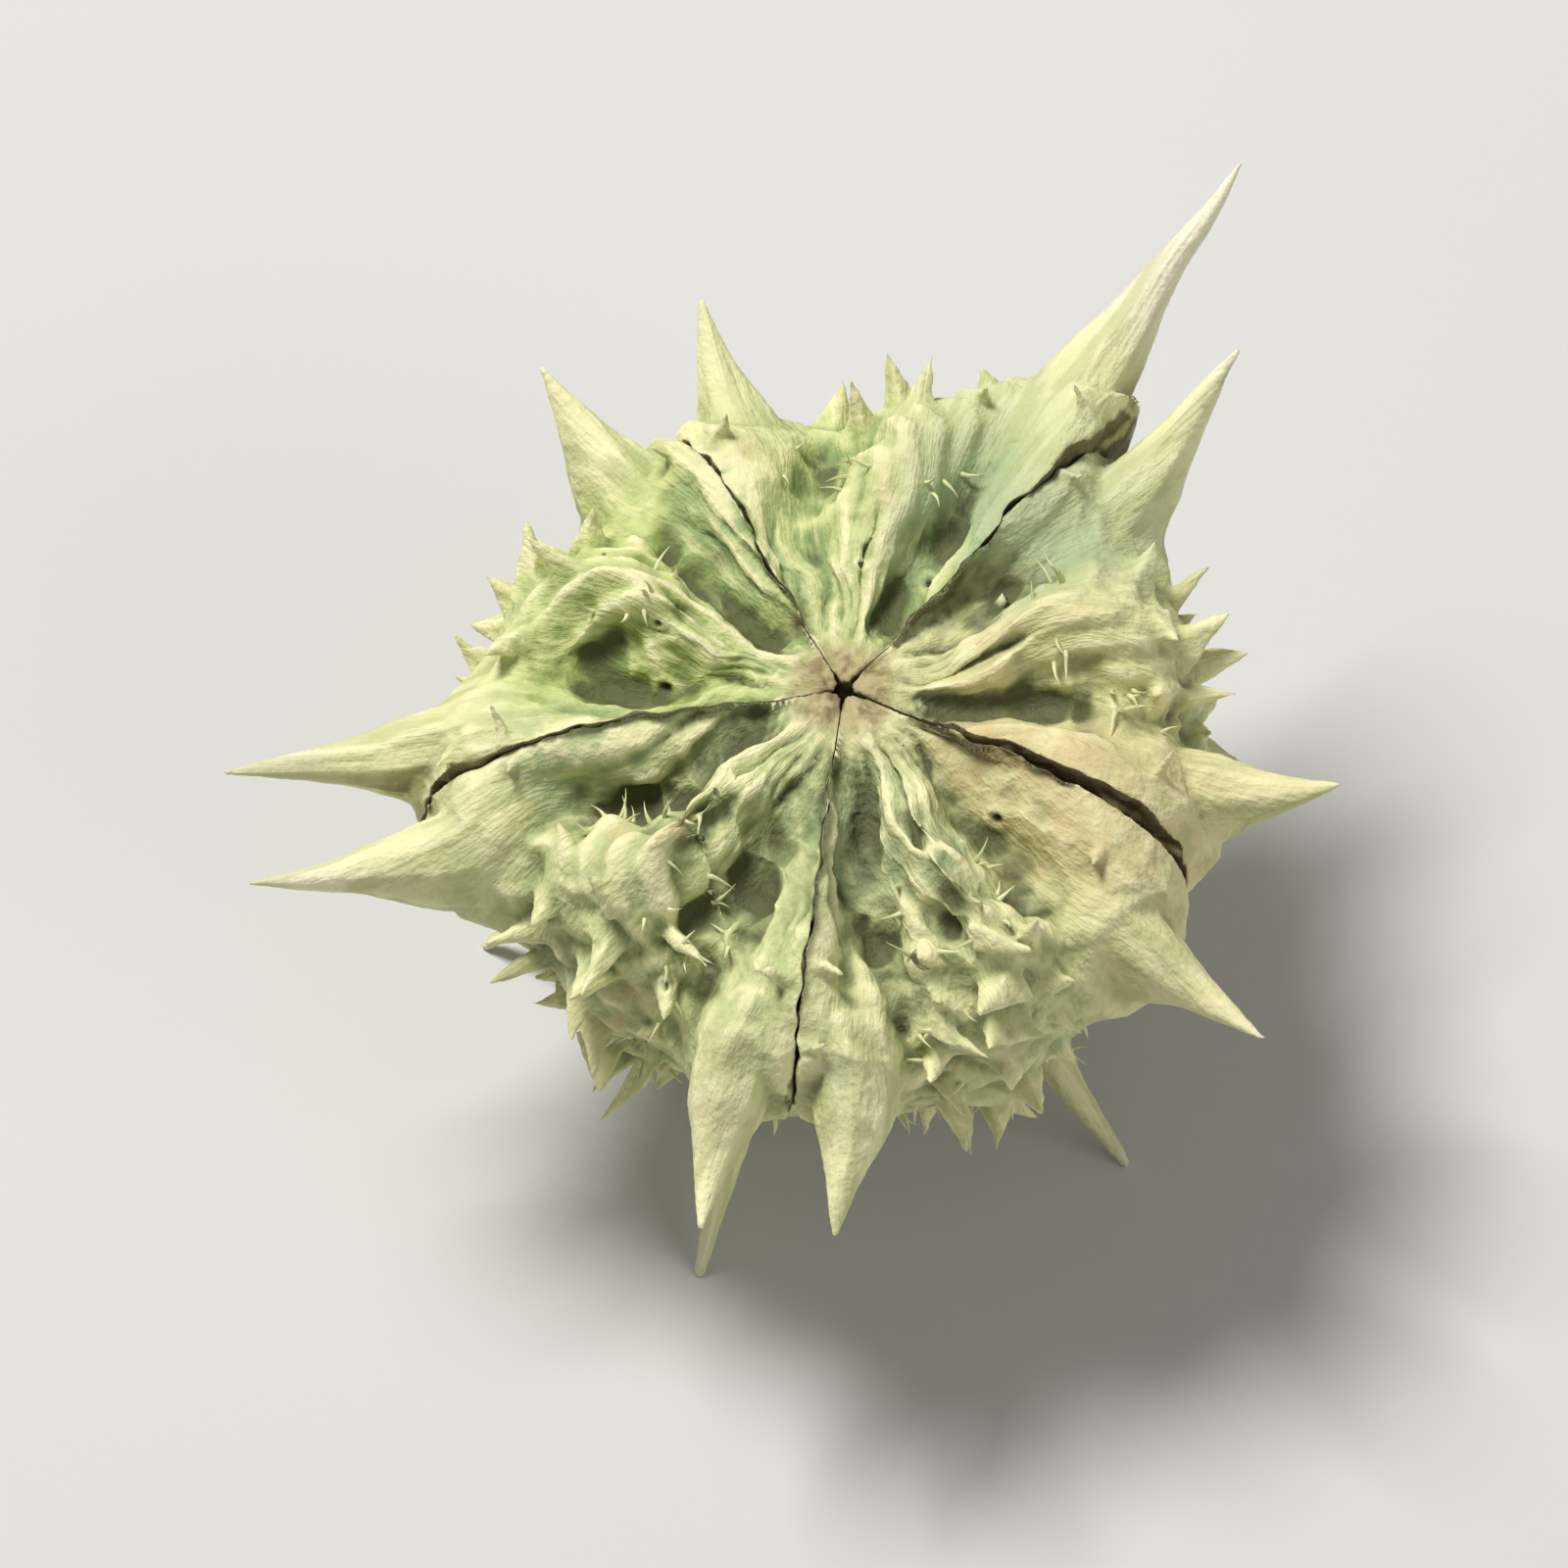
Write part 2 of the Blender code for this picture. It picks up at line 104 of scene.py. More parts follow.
def where_on_nutlet(places):
    """Distance from the axis, turn from the crest (-1 to 1), height, and how far a place stands out."""
    level = np.hypot(places[:, 0] - WEDGE_APEX, places[:, 1])
    across = np.degrees(np.arctan2(places[:, 1], places[:, 0] - WEDGE_APEX)) / SIDE_DEG
    height = places[:, 2] - BODY_MIDDLE
    power = BODY_SQUARENESS
    ratio = ((level / BODY_RADIUS) ** power + (np.abs(height) / BODY_HALF_HEIGHT) ** power) ** (1 / power)
    reach = np.sqrt(level**2 + height**2) * (1.0 - 1.0 / np.maximum(ratio, 0.05))
    return level, across, height, reach


def from_side(places):
    """How deep each place lies inside the nearer flat side or the inner edge."""
    side = math.radians(SIDE_DEG)
    depth = (places[:, 0] - WEDGE_APEX) * math.sin(side) - np.abs(places[:, 1]) * math.cos(side)
    return np.minimum(depth, places[:, 0] - INNER_EDGE)


# The fine copy of a nutlet: its solid is remeshed to a grain that is finer than the relief,
# the specks that this leaves are dropped, and it is bent a little, as dry husks are.
MERGE_DISTANCE = 0.0005
GRAIN_SIZE = 0.046
SOFTEN_TIMES = 3
RIB_STRETCH = 0.16
WARP_SIZE = 1.5
WARP_DEPTH = 0.26
WARP_FROM_SIDE = (0.04, 0.55)
WARP_FROM_GROUND = (0.8, 2.8)
HORN_REACH = (0.6, 1.8)
HORN_STIFFNESS = 0.65
TURN_TO_SHIFT = 3.7


def drop_specks(mesh):
    """Takes out the loose specks that the remesh leaves at the thinnest tips."""
    first, second = edge_ends(mesh)
    body = np.arange(len(mesh.vertices))
    settled = False
    while not settled:
        lowest = body.copy()
        np.minimum.at(lowest, first, body[second])
        np.minimum.at(lowest, second, body[first])
        lowest = lowest[lowest]
        settled = np.array_equal(lowest, body)
        body = lowest
    bodies, sizes = np.unique(body, return_counts=True)
    shell = bmesh.new()
    shell.from_mesh(mesh)
    shell.verts.ensure_lookup_table()
    specks = [shell.verts[index] for index in np.nonzero(body != bodies[sizes.argmax()])[0]]
    bmesh.ops.delete(shell, geom=specks, context="VERTS")
    shell.to_mesh(mesh)
    shell.free()


def smoothed(husk, times, weights=""):
    soften = husk.modifiers.new("soften", "SMOOTH")
    soften.iterations = times
    soften.vertex_group = weights
    bpy.ops.object.modifier_apply(modifier=soften.name)


def fine_copy(name):
    """A finely remeshed copy of a nutlet's solid, in the nutlet's own frame."""
    bpy.ops.object.select_all(action="DESELECT")
    husk = bpy.data.objects.new(f"{name}_husk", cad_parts[name].data.copy())
    bpy.context.scene.collection.objects.link(husk)
    husk.data.materials.clear()
    husk.data.transform(nutlet_space(name))
    bpy.context.view_layer.objects.active = husk
    husk.select_set(True)
    bpy.ops.object.mode_set(mode="EDIT")
    bpy.ops.mesh.select_all(action="SELECT")
    bpy.ops.mesh.remove_doubles(threshold=MERGE_DISTANCE)
    bpy.ops.object.mode_set(mode="OBJECT")
    grain = husk.modifiers.new("grain", "REMESH")
    grain.mode = "VOXEL"
    grain.voxel_size = GRAIN_SIZE
    bpy.ops.object.modifier_apply(modifier=grain.name)
    drop_specks(husk.data)
    smoothed(husk, SOFTEN_TIMES)
    return husk


def add_ray_maps(mesh):
    """UV maps of directions from the nutlet's heart, so a pattern on them runs out along the horns."""
    places = vertex_places(mesh)
    turn = np.arctan2(places[:, 1], places[:, 0] + RAY_HEART)
    tilt = np.arctan2(places[:, 2] - BODY_MIDDLE, np.hypot(places[:, 0] + RAY_HEART, places[:, 1]))
    corners = np.empty(len(mesh.loops), np.int32)
    mesh.loops.foreach_get("vertex_index", corners)
    for map_name, along in (("rays", 1.0), ("meridians", RIB_STRETCH)):
        rays = mesh.uv_layers.new(name=map_name)
        rays.data.foreach_set("uv", np.stack([turn, tilt * along], 1)[corners].astype(np.float32).ravel())


def warp(mesh, name):
    """Shifts the husk a little this way and that, so that no ridge runs straight."""
    places = vertex_places(mesh)
    seed_shift = Vector((TURN_TO_SHIFT * NUTLET_TURNS[name], 0.0, 0.0))
    shifts = [noise.noise_vector(Vector(place) / WARP_SIZE + seed_shift) for place in places.tolist()]
    reach = where_on_nutlet(places)[3]
    share = smooth_step(*WARP_FROM_SIDE, from_side(places)) * smooth_step(*WARP_FROM_GROUND, places[:, 2])
    share *= 1.0 - HORN_STIFFNESS * smooth_step(*HORN_REACH, reach)
    places += WARP_DEPTH * share[:, None] * np.array(shifts, np.float32)
    move_vertices(mesh, places)


# The relief of a nutlet: warts and lumps on the crest, ribs that run down the face from the
# style end, wrinkles along the horns, and a rough scar at the hub. Each is a texture that
# raises the surface in its own zone, which a vertex group marks.
WART_SIZE = 0.70
WART_DEPTH = 0.52
WARTS_FROM = {"nutlet_1": 2.6, "nutlet_2": 2.9, "nutlet_3": 2.5, "nutlet_4": 1.8, "nutlet_5": 2.8}
WART_FADE = 0.9
LUMP_SIZE = 1.05
LUMP_DEPTH = 0.42
RIB_SIZE = 0.38
RIB_DEPTH = 0.50
WRINKLE_SIZE = 0.11
WRINKLE_DEPTH = 0.06
CRUMPLE_SIZE = 0.42
CRUMPLE_DEPTH = 0.11
FINE_SIZE = 0.10
FINE_DEPTH = 0.018
SCAR_DEPTH = 0.09
EDGE_WEAR = 0.05
BLUNT_TIMES = 9
ON_BODY = (0.9, 0.2)
OFF_SIDE = (0.02, 0.12)


def clouds(name, size, depth):
    texture = bpy.data.textures.new(name, "CLOUDS")
    texture.noise_scale = size
    texture.noise_depth = depth
    return texture


wart_texture = bpy.data.textures.new("tubercles", "VORONOI")
wart_texture.noise_scale = WART_SIZE
rib_texture = clouds("face_ribs", RIB_SIZE, 1)
rib_texture.noise_type = "HARD_NOISE"
lump_texture = clouds("lumps", LUMP_SIZE, 2)
wrinkle_texture = clouds("wrinkles", WRINKLE_SIZE, 2)
crumple_texture = clouds("crumples", CRUMPLE_SIZE, 3)
fine_texture = clouds("fine_grain", FINE_SIZE, 1)


def weigh(husk, name, values):
    """A vertex group with those weights, in steps of a sixty-fourth."""
    group = husk.vertex_groups.new(name=name)
    steps = np.rint(np.clip(values, 0.0, 1.0) * 64).astype(int)
    for step in np.unique(steps):
        if step > 0:
            group.add(np.nonzero(steps == step)[0].tolist(), step / 64.0, "REPLACE")


def weigh_zones(husk, warts_from):
    """The zones of the relief, each fading out towards the flat sides and past its own bounds."""
    places = vertex_places(husk.data)
    level, across, _, reach = where_on_nutlet(places)
    depth = from_side(places)
    inside = smooth_step(*OFF_SIDE, depth)
    on_body = smooth_step(*ON_BODY, reach)
    back = smooth_step(0.85, 0.45, np.abs(across)) * smooth_step(warts_from, warts_from + WART_FADE, level)
    face = smooth_step(0.4, 1.2, level) * smooth_step(4.0, 3.0, level)
    zones = {
        "prickly": inside * smooth_step(0.80, 0.55, np.abs(across)) * smooth_step(1.8, 2.4, level),
        "warty": inside * on_body * back,
        "ribbed": inside * on_body * face,
        "wrinkled": inside * smooth_step(1.6, 0.4, reach) * (1.0 - 0.6 * back),
        "outside": inside * (1.0 - 0.5 * face) * (1.0 - 0.6 * smooth_step(0.8, 1.8, reach)),
        "scarred": smooth_step(0.95, 0.55, level) * on_body,
        "suture_edge": smooth_step(0.30, 0.04, depth) * smooth_step(-0.45, -0.1, reach),
        "lumpy": smooth_step(0.15, 0.6, depth) * on_body * smooth_step(0.7, 1.8, level),
    }
    for zone, values in zones.items():
        weigh(husk, zone, values)


def displaced(husk, texture, strength, zone, along="", middle=0.5):
    """Raises the surface in a zone by a texture, on a UV map where one is named."""
    push = husk.modifiers.new("push", "DISPLACE")
    push.texture = texture
    push.texture_coords = "UV" if along else "LOCAL"
    if along:
        push.uv_layer = along
    push.strength = strength
    push.mid_level = middle
    push.vertex_group = zone
    bpy.ops.object.modifier_apply(modifier=push.name)


def raise_relief(husk):
    smoothed(husk, BLUNT_TIMES, "prickly")
    displaced(husk, lump_texture, LUMP_DEPTH, "lumpy")
    displaced(husk, wart_texture, -WART_DEPTH, "warty")
    displaced(husk, rib_texture, RIB_DEPTH, "ribbed", along="meridians")
    displaced(husk, wrinkle_texture, WRINKLE_DEPTH, "wrinkled", along="rays")
    displaced(husk, crumple_texture, CRUMPLE_DEPTH, "outside")
    displaced(husk, fine_texture, FINE_DEPTH, "outside")
    displaced(husk, fine_texture, SCAR_DEPTH, "scarred")
    displaced(husk, crumple_texture, EDGE_WEAR, "suture_edge", middle=1.0)


# The sutures: the dry seams between the nutlets. The skins' edges are drawn to each other, to
# a hairline that wanders a little, and the one seam that has split stays partly open.
OPEN_SIDES = {"nutlet_1": -1, "nutlet_5": 1}
SUTURE_REACH = 0.10
SUTURE_HAIR = 0.008
OPEN_SHARE = 0.6
SHUT_SHARE = 0.85
RAGGED_SIZE = 0.7
SWAY_SIZE = 0.55
SWAY_WIDTH = 0.11
SWAY_MOST = 0.7
SWAY_STEP = 7.0
SIDE_STEP = 9.0
SKIN_DEPTHS = (-0.7, -0.15)
PULLED_BAND = (0.30, 0.10)
HELD_BAND = 0.35
HUB_PULL = 0.13


def suture_sway(places, suture):
    """How far a suture strays from its plane: the same for both nutlets that meet at it."""
    level = np.hypot(places[:, 0], places[:, 1])
    spots = (np.stack([level, places[:, 2]], 1) / SWAY_SIZE).tolist()
    sway = [noise.fractal((out, up, SWAY_STEP * suture), 0.8, 2.0, 2) for out, up in spots]
    return SWAY_WIDTH * smooth_step(0.6, 1.6, level) * np.clip(sway, -SWAY_MOST, SWAY_MOST)


def close_sutures(mesh, name, number):
    """Draws the skin's edges over to the next nutlet where the suture is shut, and in to the hub."""
    places = vertex_places(mesh)
    level, _, _, reach = where_on_nutlet(places)
    skin = smooth_step(*SKIN_DEPTHS, reach)
    half = math.radians(MEETING_DEG)
    for side in (-1, 1):
        inside = places[:, 0] * math.sin(half) - side * places[:, 1] * math.cos(half)
        pull = SUTURE_REACH * smooth_step(*PULLED_BAND, inside) * skin * smooth_step(0.2, 0.5, level)
        least = OPEN_SHARE if OPEN_SIDES.get(name) == side else SHUT_SHARE
        drawn = np.nonzero(pull > 0.001)[0]
        shift = Vector((side * SIDE_STEP, 0.0, 0.0))
        raggedness = [noise.noise(Vector(place) / RAGGED_SIZE + shift) for place in places[drawn].tolist()]
        ragged = [0.5 + 0.8 * value for value in raggedness]
        pull[drawn] *= least + (1.0 - least) * np.clip(ragged, 0.0, 1.0)
        suture = (number if side > 0 else number - 1) % len(NUTLET_TURNS)
        near = np.nonzero(inside < HELD_BAND)[0]
        moved = pull.copy()
        sway = side * suture_sway(places[near], suture)
        moved[near] = np.minimum(pull[near], inside[near] - SUTURE_HAIR - sway)
        places[:, 0] -= moved * math.sin(half)
        places[:, 1] += moved * side * math.cos(half)
    inward = HUB_PULL * smooth_step(0.8, 0.25, level) * skin
    shrink = 1.0 - inward / np.maximum(level, 0.2)
    places[:, 0] *= shrink
    places[:, 1] *= shrink
    move_vertices(mesh, places)


# The pits: a few small craters with a raised rim on each nutlet, left by bristles that have
# broken off. They are pressed into the skin at seeded spots, and are coloured dark at their middles later.
PITS_EACH = 4
PIT_REACH = 0.26
PIT_SIZES = (0.7, 1.2)
PIT_STRETCHES = (0.7, 1.4)
RIM_HEIGHT = 0.03
RIM_RADIUS = 0.12
RIM_WIDTH = 0.05
HOLE_DEPTH = 0.08
HOLE_WIDTH = 0.055
PIT_DARK_WIDTH = 0.06


def bell(distances, width):
    return np.exp(-((distances / width) ** 2))


def bore_pits(mesh, dice):
    """Presses the pits in, and returns how much of a pit each vertex is."""
    places = vertex_places(mesh)
    normals = vertex_normals(mesh)
    level, across, _, reach = where_on_nutlet(places)
    likely = np.nonzero((np.abs(across) < 0.8) & (level > 1.6) & (reach < 0.75))[0]
    pitted = np.zeros(len(places), np.float32)
    for _ in range(PITS_EACH):
        spot = places[likely[dice.randrange(len(likely))]]
        size = dice.uniform(*PIT_SIZES)
        stretch = np.array([dice.uniform(*PIT_STRETCHES) for _ in range(3)])
        near = np.linalg.norm((places - spot) * stretch, axis=1) / size
        close = near < PIT_REACH
        rim = RIM_HEIGHT * bell(near[close] - RIM_RADIUS, RIM_WIDTH)
        hole = HOLE_DEPTH * bell(near[close], HOLE_WIDTH)
        places[close] += normals[close] * (rim - hole)[:, None]
        # The spot at each pit's middle that the material colours dark brown.
        pitted[close] = np.maximum(pitted[close], bell(near[close], PIT_DARK_WIDTH))
    places[:, 2] = np.maximum(places[:, 2], 0.0)
    move_vertices(mesh, places)
    return pitted


# The husk's finish: matt and dry, cream on the horn tips, sage at the feet of two horns, tan by the
# open suture, and brown in the scar and the pits. Green in the valleys, partly its own tint and partly
# painted shade; dark olive in the deepest hollows and dark brown on the flat sides, as painted shade;
# cream on the ridges, partly its own tint and partly painted highlight. What it depends on is written
# to the vertices first, as plain numbers.
SAGE_SIDES = {"nutlet_1": 1.0, "nutlet_2": -1.0}
SMALL_HOLLOW = (14, 0.03)
LARGE_HOLLOW = (140, 0.16)


def keep_numbers(mesh, name, values):
    """Stores one number a vertex under a name that the husk material reads."""
    attribute = mesh.attributes.new(name, "FLOAT", "POINT")
    attribute.data.foreach_set("value", values.astype(np.float32))


def hollowness(mesh, places, rounds, whole):
    """How far each vertex lies below its own smoothed surface, as a share of a whole depth."""
    first, second = edge_ends(mesh)
    count = len(places)
    links = np.bincount(first, minlength=count) + np.bincount(second, minlength=count)
    smooth = places.astype(np.float64)
    for _ in range(rounds):
        total = np.empty_like(smooth)
        for axis in range(3):
            total[:, axis] = np.bincount(first, smooth[second, axis], count)
            total[:, axis] += np.bincount(second, smooth[first, axis], count)
        smooth = 0.5 * smooth + 0.5 * total / links[:, None]
    return ((smooth - places) * vertex_normals(mesh)).sum(1) / whole


def note_surface(mesh, name, pitted):
    """Writes what the husk material needs to know at each vertex."""
    places = vertex_places(mesh)
    normals = vertex_normals(mesh)
    level, across, _, reach = where_on_nutlet(places)
    side = math.radians(SIDE_DEG)
    side_facing = np.abs(normals[:, 1]) * math.cos(side) - normals[:, 0] * math.sin(side)
    horn_foot = smooth_step(0.0, 0.5, reach) * smooth_step(2.8, 1.4, reach)
    beside_open = smooth_step(0.25, 0.9, OPEN_SIDES.get(name, 0) * across)
    on_side = smooth_step(0.86, 0.96, side_facing) * smooth_step(0.88, 0.97, np.abs(across))
    keep_numbers(mesh, "pitted", pitted)
    keep_numbers(mesh, "reach", np.clip(reach, -1.0, 6.0))
    keep_numbers(mesh, "level", level)
    keep_numbers(mesh, "sage", smooth_step(0.1, 0.55, SAGE_SIDES.get(name, 0.0) * across) * horn_foot)
    keep_numbers(mesh, "stained", beside_open * smooth_step(0.8, 1.8, level))
    # Where the flat sides face the next nutlet: the mask for painted shade in the suture gaps.
    keep_numbers(mesh, "flat_side_shade", on_side)
    # How far each place lies in a hollow, on two scales: the mask for painted shade in the hollows and
    # painted highlight on the ridges.
    keep_numbers(mesh, "hollow_small", hollowness(mesh, places, *SMALL_HOLLOW))
    keep_numbers(mesh, "hollow_large", hollowness(mesh, places, *LARGE_HOLLOW))


husks = {}
for number, name in enumerate(NUTLET_TURNS):
    dice = random.Random(SEED + number)
    husk = fine_copy(name)
    add_ray_maps(husk.data)
    warp(husk.data, name)
    weigh_zones(husk, WARTS_FROM[name])
    raise_relief(husk)
    close_sutures(husk.data, name, number)
    note_surface(husk.data, name, bore_pits(husk.data, dice))
    husks[name] = husk


def hue(red, green, blue):
    """A colour as the eye reads it, from 0 to 255, for a material."""
    linear = []
    for value in (red, green, blue):
        value /= 255.0
        linear.append(value / 12.92 if value <= 0.04045 else ((value + 0.055) / 1.055) ** 2.4)
    return (*linear, 1.0)


# A nutlet's own tints: its body, its valleys (greener and darker, partly painted shade in the hollows), and
# how far it is weathered, from 0 to 1.
HUSK_TINTS = {
    "nutlet_1": (hue(212, 210, 150), hue(164, 166, 118), 0.45),
    "nutlet_2": (hue(204, 210, 144), hue(146, 164, 100), 0.15),
    "nutlet_3": (hue(200, 208, 136), hue(142, 158, 84), 0.2),
    "nutlet_4": (hue(196, 202, 142), hue(146, 156, 102), 0.25),
    "nutlet_5": (hue(208, 208, 152), hue(156, 162, 110), 0.25),
}
SAGE_PATCH = hue(146, 168, 124)
RIDGE_CREAM_AND_HIGHLIGHT = hue(238, 232, 180)
PALE_STREAK = hue(228, 224, 164)
TAN_WEAR = hue(208, 180, 124)
SAGE_FOOT = hue(158, 178, 138)
TAN_STAIN = hue(206, 186, 134)
SCAR_SKIN = hue(182, 166, 116)
SCAR_CRUST = hue(128, 104, 70)
HORN_CREAM = hue(232, 228, 176)
HORN_TIP = hue(240, 232, 206)
HORN_GROOVE = hue(178, 182, 122)
SUTURE_GAP_SHADE = hue(96, 82, 50)
DEEP_HOLLOW_SHADE = hue(74, 76, 40)
PIT_BROWN = hue(46, 34, 20)
WEAR_SHIFT = 0.2
MIX_BELOW, MIX_TINT, MIX_RESULT = 6, 7, 2


def number_from(tree, name):
    node = tree.nodes.new("ShaderNodeAttribute")
    node.attribute_name = name
    return node.outputs["Fac"]


def noise_at(tree, places, scale, detail, offset=(0.0, 0.0, 0.0)):
    mapping = tree.nodes.new("ShaderNodeMapping")
    mapping.inputs["Scale"].default_value = scale
    mapping.inputs["Location"].default_value = offset
    tree.links.new(places, mapping.inputs["Vector"])
    noise_node = tree.nodes.new("ShaderNodeTexNoise")
    noise_node.inputs["Scale"].default_value = 1.0
    noise_node.inputs["Detail"].default_value = detail
    tree.links.new(mapping.outputs["Vector"], noise_node.inputs["Vector"])
    return noise_node.outputs["Fac"]


def speckle(tree, size, detail, offset=(0.0, 0.0, 0.0)):
    """Noise of a size in millimetres, the same in every direction."""
    places = tree.nodes.new("ShaderNodeTexCoord").outputs["Object"]
    return noise_at(tree, places, (1000.0 / size,) * 3, detail, offset)


def streaks_of(tree, across, along, detail):
    """Noise that runs out along the horns, with so many waves a radian on the rays map."""
    rays = tree.nodes.new("ShaderNodeUVMap")
    rays.uv_map = "rays"
    return noise_at(tree, rays.outputs["UV"], (across, along, 1.0), detail)


def ranged(tree, source, start, full, least=0.0, most=1.0):
    """The least up to start and the most past full, with a soft turn between."""
    node = tree.nodes.new("ShaderNodeMapRange")
    node.interpolation_type = "SMOOTHSTEP"
    node.inputs["From Min"].default_value = start
    node.inputs["From Max"].default_value = full
    node.inputs["To Min"].default_value = least
    node.inputs["To Max"].default_value = most
    tree.links.new(source, node.inputs["Value"])
    return node.outputs["Result"]


def arithmetic(tree, operation, first, second):
    node = tree.nodes.new("ShaderNodeMath")
    node.operation = operation
    for value, socket in ((first, node.inputs[0]), (second, node.inputs[1])):
        if isinstance(value, (int, float)):
            socket.default_value = value
        else:
            tree.links.new(value, socket)
    return node.outputs["Value"]


def times(tree, first, second):
    return arithmetic(tree, "MULTIPLY", first, second)


def tinted(tree, below, tint, share):
    """The colour below, mixed with a tint by a share."""
    node = tree.nodes.new("ShaderNodeMix")
    node.data_type = "RGBA"
    tree.links.new(share, node.inputs["Factor"])
    if isinstance(below, tuple):
        node.inputs[MIX_BELOW].default_value = below
    else:
        tree.links.new(below, node.inputs[MIX_BELOW])
    node.inputs[MIX_TINT].default_value = tint
    return node.outputs[MIX_RESULT]


def husk_colour(tree, body_colour, valley_colour_and_shade, weathering):
    """The body colour under all its tints, from the valleys up to the pits."""
    reach = number_from(tree, "reach")
    level = number_from(tree, "level")
    patches = speckle(tree, 2.2, 3.0)
    wear = speckle(tree, 1.5, 4.0, offset=(9.0, 2.0, 5.0))
    mottle = speckle(tree, 0.45, 4.0, offset=(3.0, 1.0, 7.0))
    streaks = streaks_of(tree, 26.0, 9.0, 3.0)
    # How deep each place lies in a hollow, made uneven by mottle: the mask for painted shade in the hollows
    # and painted highlight on the ridges.
    depth = arithmetic(
        tree, "ADD", times(tree, number_from(tree, "hollow_small"), 0.35), number_from(tree, "hollow_large")
    )
    uneven = times(tree, arithmetic(tree, "SUBTRACT", mottle, 0.5), 0.9)
    depth = arithmetic(tree, "ADD", depth, uneven)
    wear_start = 0.64 - WEAR_SHIFT * weathering
    wear_full = 0.80 - WEAR_SHIFT * weathering
    stain = times(tree, number_from(tree, "stained"), ranged(tree, mottle, 0.3, 0.6, 0.25, 0.8))
    crust = times(tree, ranged(tree, level, 0.9, 0.4), ranged(tree, speckle(tree, 0.25, 4.0), 0.45, 0.62))
    grooves = times(tree, ranged(tree, streaks, 0.56, 0.40), ranged(tree, reach, 0.5, 1.4, most=0.55))
    layers = (
        # Green valley tint in the hollows: partly the husk's own tint, partly painted shade.
        (valley_colour_and_shade, ranged(tree, depth, -0.15, 0.6)),
        (SAGE_PATCH, ranged(tree, patches, 0.54, 0.70, most=0.55)),
        # Cream on the raised ridges: partly their own tint, partly painted highlight.
        (RIDGE_CREAM_AND_HIGHLIGHT, ranged(tree, depth, -0.10, -0.65, most=0.95)),
        (PALE_STREAK, ranged(tree, streaks, 0.5, 0.72, most=0.5)),
        (TAN_WEAR, ranged(tree, wear, wear_start, wear_full, most=0.7)),
        (SAGE_FOOT, times(tree, number_from(tree, "sage"), 0.75)),
        (TAN_STAIN, stain),
        (SCAR_SKIN, ranged(tree, level, 0.85, 0.35, most=0.8)),
        (SCAR_CRUST, times(tree, crust, 0.7)),
        (HORN_CREAM, ranged(tree, reach, 0.7, 1.8, most=0.6)),
        (HORN_TIP, ranged(tree, reach, 2.4, 4.2, most=0.8)),
        (HORN_GROOVE, grooves),
        # Dark brown on the flat sides: painted shade in the suture gaps.
        (SUTURE_GAP_SHADE, times(tree, number_from(tree, "flat_side_shade"), 0.9)),
        # Dark olive in the deepest hollows: painted shade.
        (DEEP_HOLLOW_SHADE, ranged(tree, depth, 0.4, 1.4, most=0.88)),
        (PIT_BROWN, ranged(tree, number_from(tree, "pitted"), 0.25, 0.8, most=0.9)),
    )
    colour = body_colour
    for tint, share in layers:
        colour = tinted(tree, colour, tint, share)
    return colour, mottle


def dry_husk(name, body_colour, valley_colour_and_shade, weathering):
    """Matt husk with a faint glow through its skin and a fine grain that follows the horns."""
    material = bpy.data.materials.new(f"{name}_husk")
    material.use_nodes = True
    tree = material.node_tree
    shader = tree.nodes["Principled BSDF"]
    shader.inputs["Subsurface Weight"].default_value = 0.12
    shader.inputs["Subsurface Radius"].default_value = (0.9, 0.7, 0.35)
    shader.inputs["Subsurface Scale"].default_value = 0.0004
    colour, mottle = husk_colour(tree, body_colour, valley_colour_and_shade, weathering)
    tree.links.new(colour, shader.inputs["Base Color"])
    rough = arithmetic(tree, "ADD", 0.62, times(tree, mottle, 0.25))
    tree.links.new(rough, shader.inputs["Roughness"])
    bump = tree.nodes.new("ShaderNodeBump")
    bump.inputs["Strength"].default_value = 0.55
    bump.inputs["Distance"].default_value = 0.00006
    fibres = times(tree, streaks_of(tree, 80.0, 30.0, 2.0), 1.2)
    tree.links.new(arithmetic(tree, "ADD", speckle(tree, 0.09, 4.0), fibres), bump.inputs["Height"])
    tree.links.new(bump.outputs["Normal"], shader.inputs["Normal"])
    return material


for name, husk in husks.items():
    husk.data.materials.append(dry_husk(name, *HUSK_TINTS[name]))
    husk.data.shade_smooth()
    husk.data.transform(nutlet_space(name).inverted())
    husk.data.update()
    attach(husk, "root")
    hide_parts(name)


# The bristles: stiff dry hairs that stand among the tubercles of each crest, pale and a little
# bent. One is made from a cone, cut and bent, and copied by rule to seeded spots on the husk.
# The two numbers of a nutlet are its count of bristles and a factor on their length.
BRISTLES = {
    "nutlet_1": (90, 1.35),
    "nutlet_2": (40, 1.0),
    "nutlet_3": (50, 1.0),
    "nutlet_4": (55, 1.0),
    "nutlet_5": (55, 1.0),
}
BRISTLE_LENGTHS = (0.16, 0.40)
BRISTLE_RADIUS = 0.042
BRISTLE_TIP = 0.002
BRISTLE_SIDES = 5
BRISTLE_CUTS = 3
BRISTLE_BEND = 0.15
BRISTLE_LEAN = 0.22
BRISTLE_SINK = 0.04
MILLIMETRE = 0.001
STRAW = (hue(228, 226, 176), hue(186, 190, 132))

